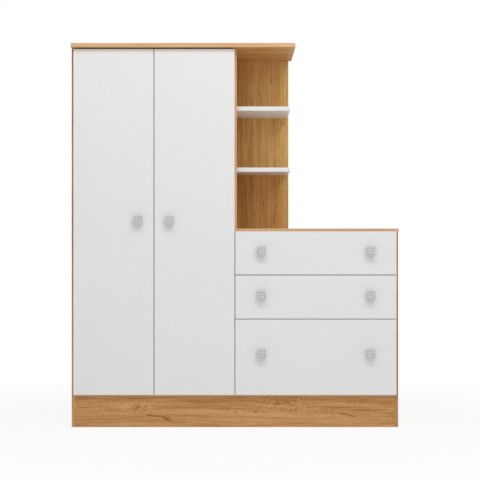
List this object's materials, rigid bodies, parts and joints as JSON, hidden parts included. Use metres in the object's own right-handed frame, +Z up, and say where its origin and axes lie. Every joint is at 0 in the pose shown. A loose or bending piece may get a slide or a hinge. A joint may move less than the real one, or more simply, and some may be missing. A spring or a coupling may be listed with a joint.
{
  "type": "chifforobe",
  "caption": "Flat-pack chifforobe: a tall wardrobe with swing doors joined to a low dresser with sliding drawers, with open shelves above the dresser; oak-look carcass, white fronts.",
  "frame": {"origin": "middle of the bounding box's footprint, on the floor", "axes": "+Z up; -Y out of the front, the way the doors and drawers face; +X to the viewer's right, towards the dresser"},
  "size_m": [1.403, 0.466, 1.643],
  "materials": {
    "oak_board": "warm oak-look foil on chipboard, satin",
    "white_board": "plain white foil on chipboard, satin",
    "drawer_board": "pale foil on chipboard, matte",
    "hardboard": "brown hardboard, smooth side out",
    "beech": "bare beech",
    "knob_metal": "satin silver-grey",
    "hinge_steel": "nickel-plated",
    "rail_chrome": "polished",
    "socket_plastic": "grey, matte",
    "felt": "pressed felt"
  },
  "bodies": {
    "carcass": {"left_side_panel": "oak_board", "middle_panel": "oak_board", "right_side_panel": "oak_board", "wardrobe_top": "oak_board", "dresser_top": "oak_board", "niche_back_panel": "oak_board", "upper_niche_shelf": "white_board", "lower_niche_shelf": "white_board", "wardrobe_bottom_panel": "oak_board", "dresser_bottom_panel": "oak_board", "front_plinth": "oak_board", "wardrobe_rear_stretcher": "oak_board", "dresser_rear_stretcher": "oak_board", "wardrobe_back_sheet": "hardboard", "dresser_back_sheet": "hardboard", "hat_shelf": "white_board", "hat_shelf_pins": "hinge_steel", "clothes_rail": "rail_chrome", "rail_sockets": "socket_plastic", "dowels": "beech", "front_bumpers": "felt", "left_hinge_plates": "hinge_steel", "left_hinge_arms": "hinge_steel", "right_hinge_plates": "hinge_steel", "right_hinge_arms": "hinge_steel", "upper_drawer_runners": "beech", "middle_drawer_runners": "beech", "deep_drawer_runners": "beech"},
    "left_door": {"left_door_panel": "white_board", "left_door_knob": "knob_metal", "left_hinge_cups": "hinge_steel", "left_hinge_pins": "hinge_steel"},
    "right_door": {"right_door_panel": "white_board", "right_door_knob": "knob_metal", "right_hinge_cups": "hinge_steel", "right_hinge_pins": "hinge_steel"},
    "upper_drawer": {"upper_drawer_front": "white_board", "upper_drawer_left_side": "drawer_board", "upper_drawer_right_side": "drawer_board", "upper_drawer_back": "drawer_board", "upper_drawer_bottom": "hardboard", "upper_drawer_knobs": "knob_metal"},
    "middle_drawer": {"middle_drawer_front": "white_board", "middle_drawer_left_side": "drawer_board", "middle_drawer_right_side": "drawer_board", "middle_drawer_back": "drawer_board", "middle_drawer_bottom": "hardboard", "middle_drawer_knobs": "knob_metal"},
    "deep_drawer": {"deep_drawer_front": "white_board", "deep_drawer_left_side": "drawer_board", "deep_drawer_right_side": "drawer_board", "deep_drawer_back": "drawer_board", "deep_drawer_bottom": "hardboard", "deep_drawer_knobs": "knob_metal"}
  },
  "joints": [
    {"name": "left_door_swing", "type": "hinge", "parent": "carcass", "child": "left_door", "pos_m": [-0.6845, -0.202, 0.88], "axis": [0, 0, -1], "range_deg": [0, 90]},
    {"name": "right_door_swing", "type": "hinge", "parent": "carcass", "child": "right_door", "pos_m": [-0.011, -0.202, 0.88], "axis": [0, 0, 1], "range_deg": [0, 90]},
    {"name": "upper_drawer_slide", "type": "slide", "parent": "carcass", "child": "upper_drawer", "axis": [0, -1, 0], "range_m": [0, 0.3]},
    {"name": "middle_drawer_slide", "type": "slide", "parent": "carcass", "child": "middle_drawer", "axis": [0, -1, 0], "range_m": [0, 0.3]},
    {"name": "deep_drawer_slide", "type": "slide", "parent": "carcass", "child": "deep_drawer", "axis": [0, -1, 0], "range_m": [0, 0.3]}
  ]
}
